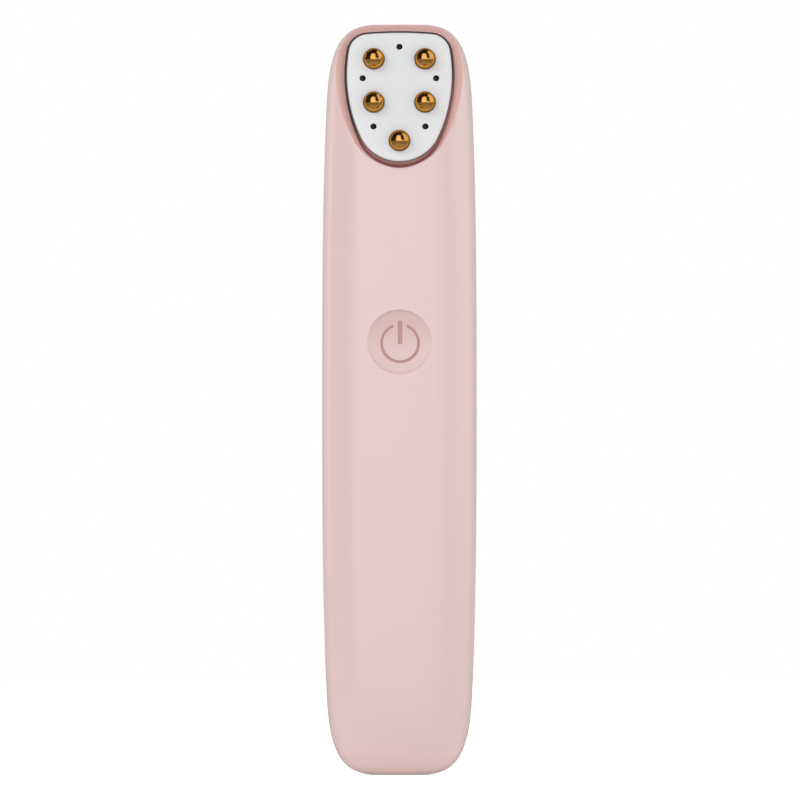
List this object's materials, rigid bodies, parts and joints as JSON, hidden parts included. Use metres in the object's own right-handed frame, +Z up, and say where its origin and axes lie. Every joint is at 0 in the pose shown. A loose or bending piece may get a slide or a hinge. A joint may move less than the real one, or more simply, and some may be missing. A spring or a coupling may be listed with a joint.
{
  "type": "heated eye massager wand",
  "caption": "Slim upright wand with a tilted, heated massage face of metal beads and lights, a dished power button, and a vibration motor and battery inside.",
  "frame": {"origin": "middle of the flat lower end, on the wand's axis, at the mouth of the charging socket", "axes": "+Z up the wand, +X across, -Y towards the side with the button and the treatment face"},
  "size_m": [0.0288, 0.0238, 0.14],
  "materials": {
    "shell_pink": "satin, fine moulded grain",
    "button_pink": "satin, engraved mark",
    "clear_ring": "polished, smoky",
    "plate_white": "satin",
    "bead_gold": "gold plated, polished",
    "lens_dark": "polished",
    "led_white": "moulded",
    "silicone": "matte",
    "heater_amber": "polyimide film",
    "foam_grey": "open foam",
    "board_green": "solder mask",
    "chip_black": "moulded",
    "coil_grey": "sintered",
    "connector_cream": "moulded",
    "plunger_white": "moulded",
    "frame_grey": "moulded",
    "steel": "plated",
    "can_steel": "drawn",
    "weight_brass": "sintered",
    "cell_blue": "shrink sleeve",
    "wire_red": "insulated",
    "wire_black": "insulated"
  },
  "bodies": {
    "handle": {"battery_cell": "cell_blue", "battery_lead_black": "wire_black", "battery_lead_red": "wire_red", "cell_board": "board_green", "cell_pad": "foam_grey", "charge_chip": "chip_black", "control_chip": "chip_black", "driver_chip": "chip_black", "flex_socket": "connector_cream", "frame_screws": "steel", "front_shell": "shell_pink", "head_board": "board_green", "head_carrier": "frame_grey", "head_flex": "heater_amber", "head_ring": "clear_ring", "head_screw": "steel", "head_seal": "silicone", "heat_sensor": "chip_black", "heater_film": "heater_amber", "inner_frame": "frame_grey", "insulation_pad": "foam_grey", "led_chip_1": "led_white", "led_chip_2": "led_white", "led_chip_3": "led_white", "led_chip_4": "led_white", "led_chip_5": "led_white", "led_lens_1": "lens_dark", "led_lens_2": "lens_dark", "led_lens_3": "lens_dark", "led_lens_4": "lens_dark", "led_lens_5": "lens_dark", "main_board": "board_green", "massage_bead_1": "bead_gold", "massage_bead_2": "bead_gold", "massage_bead_3": "bead_gold", "massage_bead_4": "bead_gold", "massage_bead_5": "bead_gold", "motor_boot": "silicone", "motor_can": "can_steel", "motor_lead_black": "wire_black", "motor_lead_red": "wire_red", "power_coil": "coil_grey", "rear_shell": "shell_pink", "socket_seal": "silicone", "socket_shell": "can_steel", "socket_tongue": "chip_black", "switch_body": "chip_black", "treatment_plate": "plate_white"},
    "button": {"power_button": "button_pink"},
    "plunger": {"switch_plunger": "plunger_white"},
    "rotor": {"motor_shaft": "steel", "motor_weight": "weight_brass"}
  },
  "joints": [
    {"name": "button_press", "type": "slide", "parent": "handle", "child": "button", "axis": [0, 1, 0], "range_m": [0, 0.00035], "stiffness_N_per_m": 1500, "springref_m": -0.0002},
    {"name": "switch_click", "type": "slide", "parent": "handle", "child": "plunger", "axis": [0, 1, 0], "range_m": [0, 0.00035]},
    {"name": "motor_spin", "type": "hinge", "parent": "handle", "child": "rotor", "pos_m": [0, 0.0032, 0.1128], "axis": [0, 0, 1], "continuous": true}
  ],
  "couplings": [
    {"joint": "switch_click", "follows": "button_press", "ratio": 1}
  ]
}
